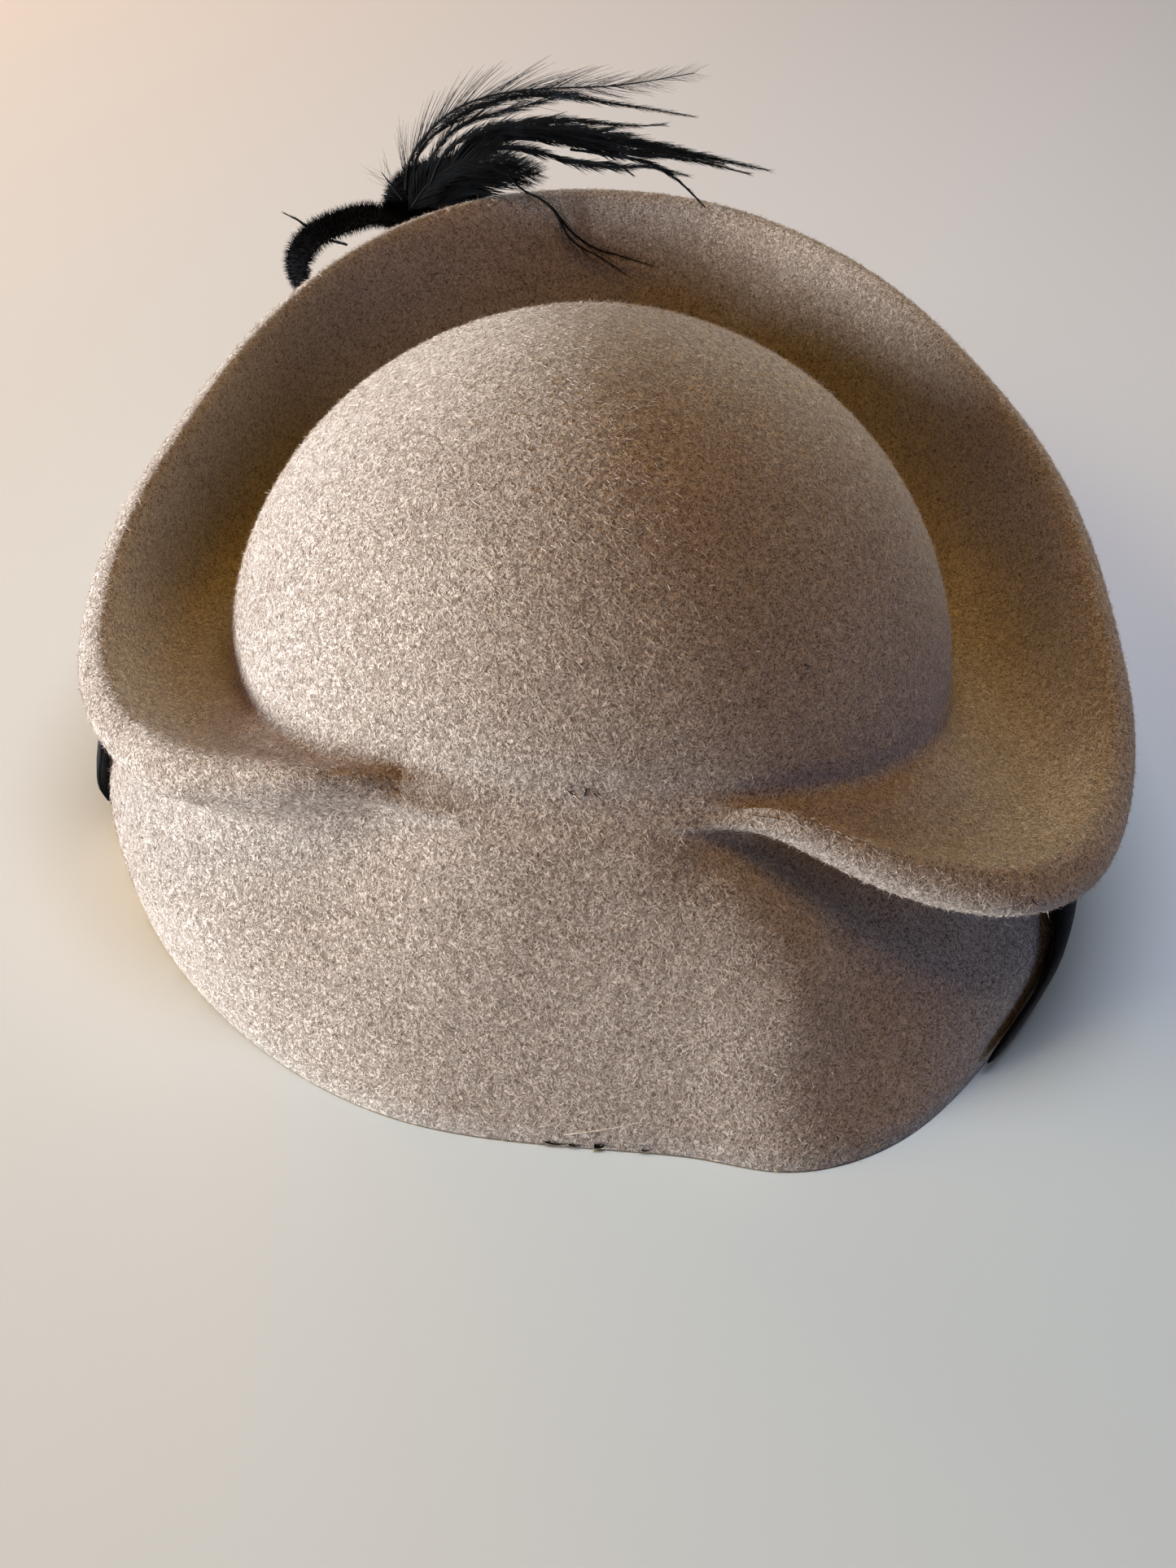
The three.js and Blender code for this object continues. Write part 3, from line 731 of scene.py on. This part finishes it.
# %% Make the feather material
def feather_material():
    """Black, with streaks of cold bluish grey painted in as highlights."""
    material, tree, shader, coordinates = new_material("black_hackle")
    painted_glint = add_node(
        tree, "ShaderNodeTexNoise", {"Vector": coordinates, "Scale": 90.0, "Detail": 3.0}
    ).outputs[0]
    # The palest stop is painted highlight: bluish-grey streaks that stand in for the barbs' sheen.
    stops = [(0.45, (0.001, 0.0012, 0.0016)), (0.64, (0.003, 0.004, 0.006)), (0.78, (0.04, 0.055, 0.07))]
    color = color_ramp(tree, painted_glint, stops)
    tree.links.new(color, shader.inputs["Base Color"])
    shader.inputs["Roughness"].default_value = 0.6
    shader.inputs["Specular IOR Level"].default_value = 0.14
    shader.inputs["Sheen Weight"].default_value = 0.02
    shader.inputs["Sheen Tint"].default_value = (0.6, 0.75, 0.9, 1)
    return material


hackle = feather_material()
print("feather material:", hackle.name)


# %% A tree that sets barbs along a shaft
def tapered(tree, line, width, tip):
    """A line as a closed three-sided hair that narrows from its root to its tip."""
    share = add_node(tree, "GeometryNodeSplineParameter").outputs["Factor"]
    narrow = add_node(tree, "ShaderNodeMapRange", {"Value": share, "To Min": 1.0, "To Max": tip}).outputs[0]
    section = add_node(tree, "GeometryNodeCurvePrimitiveCircle", {"Resolution": 3, "Radius": width})
    sweep = {"Curve": line, "Profile Curve": section.outputs["Curve"], "Scale": narrow, "Fill Caps": True}
    return add_node(tree, "GeometryNodeCurveToMesh", sweep).outputs[0]


def barb_aim(tree, given, tangent, side):
    """The way that a barb points: forward along the shaft and out to one side, with a little disorder."""
    facing = add_node(tree, "ShaderNodeCombineXYZ", {0: 0.1, 1: -0.95, 2: 0.3}).outputs[0]
    across = add_node(
        tree, "ShaderNodeVectorMath", {0: tangent, 1: facing}, operation="CROSS_PRODUCT"
    ).outputs[0]
    place = add_node(tree, "GeometryNodeInputPosition").outputs[0]
    clump = add_node(tree, "ShaderNodeTexNoise", {"Vector": place, "Scale": 220.0, "Detail": 1.0}).outputs[0]
    spread = add_node(tree, "ShaderNodeMath", {0: clump, 1: given["Angle"]}, operation="MULTIPLY").outputs[0]
    angle = add_node(tree, "ShaderNodeMath", {0: spread, 1: 2.0 * side}, operation="MULTIPLY").outputs[0]
    out = add_node(tree, "ShaderNodeMath", {0: angle}, operation="SINE").outputs[0]
    forth = add_node(tree, "ShaderNodeMath", {0: angle}, operation="COSINE").outputs[0]
    parts = [
        add_node(tree, "ShaderNodeVectorMath", {0: way, "Scale": share}, operation="SCALE").outputs[0]
        for way, share in ((across, out), (tangent, forth))
    ]
    aim = add_node(tree, "ShaderNodeVectorMath", {0: parts[0], 1: parts[1]}, operation="ADD").outputs[0]
    jitter = add_node(
        tree,
        "FunctionNodeRandomValue",
        {0: (-0.1, -0.1, -0.1), 1: (0.1, 0.1, 0.1), "Seed": given["Seed"]},
        data_type="FLOAT_VECTOR",
    ).outputs[0]
    return add_node(tree, "ShaderNodeVectorMath", {0: aim, 1: jitter}, operation="ADD").outputs[0]


def barb_size(tree, given):
    """How long each barb is: its share at the root, full in the first half, and short at the tip."""
    place = add_node(tree, "GeometryNodeInputIndex").outputs[0]
    share = add_node(tree, "ShaderNodeMath", {0: place, 1: given["Barbs"]}, operation="DIVIDE").outputs[0]
    swell = add_node(
        tree, "ShaderNodeMapRange", {"Value": share, "From Max": 0.3, "To Min": given["Base"]}
    ).outputs[0]
    fade = add_node(
        tree,
        "ShaderNodeMapRange",
        {"Value": share, "From Min": 0.5, "From Max": 1.0, "To Min": 1.0, "To Max": 0.3},
    ).outputs[0]
    chance = add_node(
        tree, "FunctionNodeRandomValue", {2: 0.6, 3: 1.0, "Seed": given["Seed"]}, data_type="FLOAT"
    ).outputs[1]
    size = given["Barb"]
    for factor in (swell, fade, chance):
        size = add_node(tree, "ShaderNodeMath", {0: size, 1: factor}, operation="MULTIPLY").outputs[0]
    return size


def barb_side(tree, given, shaft, side):
    """Barbs down one side of a shaft. Side is 1 or -1."""
    bent = add_node(
        tree,
        "GeometryNodeCurveQuadraticBezier",
        {"Resolution": 3, "Start": (0, 0, 0), "Middle": (0, 0, 0.5), "End": (0.1, 0, 1)},
    ).outputs[0]
    widths = {0: given["Barb width"], 1: given["Barb"]}
    slim = add_node(tree, "ShaderNodeMath", widths, operation="DIVIDE").outputs[0]
    barb = tapered(tree, bent, slim, 0.25)
    points = add_node(tree, "GeometryNodeCurveToPoints", {"Curve": shaft, "Count": given["Barbs"]})
    tangent = points.outputs["Tangent"]
    turn = add_node(
        tree,
        "FunctionNodeAxesToRotation",
        {"Primary Axis": barb_aim(tree, given, tangent, side), "Secondary Axis": tangent},
        primary_axis="Z",
        secondary_axis="X",
    ).outputs[0]
    return add_node(
        tree,
        "GeometryNodeInstanceOnPoints",
        {"Points": points.outputs[0], "Instance": barb, "Rotation": turn, "Scale": barb_size(tree, given)},
    ).outputs[0]


def feather_tree():
    """A feather on each curve: a tapered shaft, with a barb at every step down both sides."""
    lengths = dict.fromkeys(("Barb", "Barb width", "Shaft width", "Angle", "Base"), "Float")
    others = {"Barbs": "Int", "Seed": "Int", "Finish": "Material"}
    tree, given, result = node_group("feather", {**lengths, **others})
    shaft = add_node(tree, "GeometryNodeResampleCurve", {"Curve": given["Geometry"], "Count": 60}).outputs[0]
    whole = tree.nodes.new("GeometryNodeJoinGeometry")
    tree.links.new(tapered(tree, shaft, given["Shaft width"], 0.3), whole.inputs[0])
    for side in (1, -1):
        tree.links.new(barb_side(tree, given, shaft, side), whole.inputs[0])
    real = add_node(tree, "GeometryNodeRealizeInstances", {0: whole.outputs[0]}).outputs[0]
    coated = {"Geometry": real, "Material": given["Finish"]}
    finish = add_node(tree, "GeometryNodeSetMaterial", coated).outputs[0]
    tree.links.new(finish, result[0])
    return tree


feather_maker = feather_tree()
print("feather tree nodes:", len(feather_maker.nodes))


# %% Set the feathers in the knot
def make_feather(number, row):
    """One feather's mesh from its row of the table."""
    shaft = shaft_curve(f"shaft_{number}", row["path"], quill_root)
    values = {
        "Barb": row["barb"] * millimetre,
        "Barb width": row["width"] / 2 * millimetre,
        "Shaft width": 0.5 * millimetre,
        "Angle": math.radians(row["angle"]),
        "Base": row["base"],
        "Barbs": row["count"],
        "Seed": number,
        "Finish": hackle,
    }
    mesh = run_group(shaft, feather_maker, values)
    bpy.data.objects.remove(shaft)
    return mesh


spray = joined("feather_plumes", [make_feather(number, row) for number, row in enumerate(feathers)])
dressed(spray, "feather_spray")
print("feather faces:", len(spray.data.polygons))

# %% [markdown]
# ## The nap
# The brushed fibres that stand off the felt catch the light one by one and soften the outline. A hair
# system would hold them as guides that nothing else can use, so the tree that grew the velvet's pile
# grows them too: thinner, and nearly lying down. They are laid on the outer face only, in three pieces of
# like weight.


# %% Brush up the nap
def fur_material(name, deep, light):
    """Pale fur that stands off the felt, between two colours."""
    material, tree, shader, coordinates = new_material(name)
    tuft = add_node(
        tree, "ShaderNodeTexNoise", {"Vector": coordinates, "Scale": 900.0, "Detail": 1.0}
    ).outputs[0]
    color = color_ramp(tree, tuft, [(0.35, deep), (0.65, light)])
    tree.links.new(color, shader.inputs["Base Color"])
    shader.inputs["Roughness"].default_value = 0.85
    shader.inputs["Specular IOR Level"].default_value = 0.2
    shader.inputs["Sheen Weight"].default_value = 0.3
    return material


fur = fur_material("pale_fur_nap", (0.4, 0.335, 0.29), (0.68, 0.6, 0.54))
crown_centre = Vector((-0.0048, -0.0199, 0.0373))
crown_reach = 93.5 * millimetre
brim_foot = 52 * millimetre
nap_hairs = 45000
nap_length = 1.7 * millimetre
bare_rim = 1.6 * nap_length
floor_clearance = 0.05 * millimetre


def region_of(face_middle):
    """Which of the nap's three pieces a spot belongs to. The rim has no nap, to stay off the floor."""
    if face_middle.z < bare_rim:
        return None
    if (face_middle - crown_centre).length < crown_reach:
        return "crown"
    return "brim" if face_middle.z > brim_foot else "flap"


def outer_patch(region):
    """The part of the felt's outer face in one region, as an object that hairs can be strewn on."""
    shape = bmesh.new()
    shape.from_mesh(felt.data)
    others = [
        face
        for face in shape.faces
        if face.material_index or region_of(face.calc_center_median()) != region
    ]
    bmesh.ops.delete(shape, geom=others, context="FACES")
    mesh = bpy.data.meshes.new("patch_of_" + region)
    shape.to_mesh(mesh)
    shape.free()
    return link_piece(mesh.name, mesh)


def kept_off_floor(mesh):
    """Bends the hair tips that would reach into the floor back onto it."""
    for corner in mesh.vertices:
        corner.co.z = max(corner.co.z, floor_clearance)
    return mesh


def lay_nap(region, seed):
    """The nap of one region, as a finished piece."""
    patch = outer_patch(region)
    area = sum(face.area for face in patch.data.polygons)
    values = {
        "Density": nap_hairs / area,
        "Length": nap_length,
        "Width": 0.15 * millimetre,
        "Lay": 0.85,
        "Seed": seed,
        "Finish": fur,
    }
    nap = link_piece("nap_of_" + region, kept_off_floor(run_group(patch, hairs, values)))
    bpy.data.objects.remove(patch)
    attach(nap, "root")
    return nap


for seed, region in enumerate(("crown", "brim", "flap")):
    print(region, "nap faces:", len(lay_nap(region, seed).data.polygons))

# %% [markdown]
# ## Threads and loose hairs
# A worn hat is never quite clean. Black tacking shows at the pinch and under the rim at the nape, and a
# few pale hairs have settled on the felt. Such marks could be painted as dots, but a real strand stands
# off the surface and throws a shadow. Each is one short tapered tube along a few points.

# %% Lay the strands
# The places are in millimetres from the frame's origin, and near the felt.
strands = [
    {"dark": True, "width": 0.35,
     "path": [(-7.2, -103.3, 72.0), (-6.4, -103.8, 71.6), (-5.7, -103.5, 71.2)]},
    {"dark": True, "width": 0.6,
     "path": [(-3.4, -103.2, 72.9), (-3.7, -103.8, 71.8), (-3.9, -103.6, 71.0)]},
    {"dark": True, "width": 0.35,
     "path": [(-1.9, -103.3, 71.9), (-1.0, -103.8, 71.4), (-0.2, -103.8, 70.6)]},
    {"dark": True, "width": 0.5,
     "path": [(-7.2, -143.0, 1.3), (-5.0, -143.0, 0.9), (-2.6, -143.0, 1.1)]},
    {"dark": True, "width": 0.5,
     "path": [(-1.9, -143.0, 1.1), (-0.4, -143.0, 0.8), (0.8, -143.0, 1.1)]},
    {"dark": True, "width": 1.3,
     "path": [(3.8, -143.0, 1.2), (4.9, -143.0, 1.0), (6.0, -143.0, 1.3)]},
    {"dark": True, "width": 0.5,
     "path": [(14.4, -143.0, 1.1), (15.2, -143.0, 0.9), (16.2, -143.0, 1.2)]},
    {"dark": True, "width": 0.4,
     "path": [(41.5, -78.2, 90.6), (42.2, -78.3, 90.2), (42.9, -78.0, 89.7)]},
    {"dark": True, "width": 0.4,
     "path": [(94.9, -108.2, 53.9), (95.6, -108.6, 53.0), (96.3, -108.4, 52.3)]},
    {"dark": False, "width": 0.24,
     "path": [(-3.2, -142.5, 3.4), (5.4, -142.2, 5.5), (14.4, -140.3, 7.6)]},
    {"dark": False, "width": 0.24,
     "path": [(17.4, -106.4, 63.4), (18.4, -107.3, 62.6), (19.1, -107.1, 61.7)]},
    {"dark": False, "width": 0.24,
     "path": [(49.3, -107.8, 44.2), (50.3, -108.6, 43.5), (51.0, -108.4, 42.8)]},
    {"dark": False, "width": 0.3,
     "path": [(95.5, -92.6, 29.2), (96.6, -93.0, 28.8), (97.6, -92.6, 27.9)]},
]
strand_lift = 0.35 * millimetre
felt_surface = BVHTree.FromPolygons(
    [corner.co for corner in felt.data.vertices], [tuple(face.vertices) for face in felt.data.polygons]
)


def seated(path, width):
    """The same points dropped onto the felt, each a little clear of it and none in the floor."""
    points = []
    for point in path:
        spot, normal, face, gap = felt_surface.find_nearest(Vector(point) * millimetre)
        place = (spot + normal * strand_lift) / millimetre
        place.z = max(place.z, width)
        points.append(place)
    return points


def strand_tree():
    """A tapered tube along each curve."""
    tree, given, result = node_group("strand", {"Width": "Float", "Finish": "Material"})
    line = add_node(tree, "GeometryNodeResampleCurve", {"Curve": given["Geometry"], "Count": 12}).outputs[0]
    tube = tapered(tree, line, given["Width"], 0.4)
    real = add_node(tree, "GeometryNodeRealizeInstances", {0: tube}).outputs[0]
    coated = {"Geometry": real, "Material": given["Finish"]}
    finish = add_node(tree, "GeometryNodeSetMaterial", coated).outputs[0]
    tree.links.new(finish, result[0])
    return tree


strand_maker = strand_tree()


def lay_strands(name, dark, finish):
    """All dark or all pale strands, as one piece."""
    meshes = []
    for row in strands:
        if row["dark"] == dark:
            line = shaft_curve("strand", seated(row["path"], row["width"]), Vector())
            values = {"Width": row["width"] / 2 * millimetre, "Finish": finish}
            meshes.append(run_group(line, strand_maker, values))
            bpy.data.objects.remove(line)
    piece = joined(name, meshes)
    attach(piece, "root")
    return piece


# The tacking shares the feathers' material, and so their painted highlights.
lay_strands("black_tacking", True, hackle)
lint = fur_material("pale_lint", (0.75, 0.68, 0.6), (0.9, 0.85, 0.78))
lay_strands("pale_loose_hairs", False, lint)
print("strands:", len(strands))
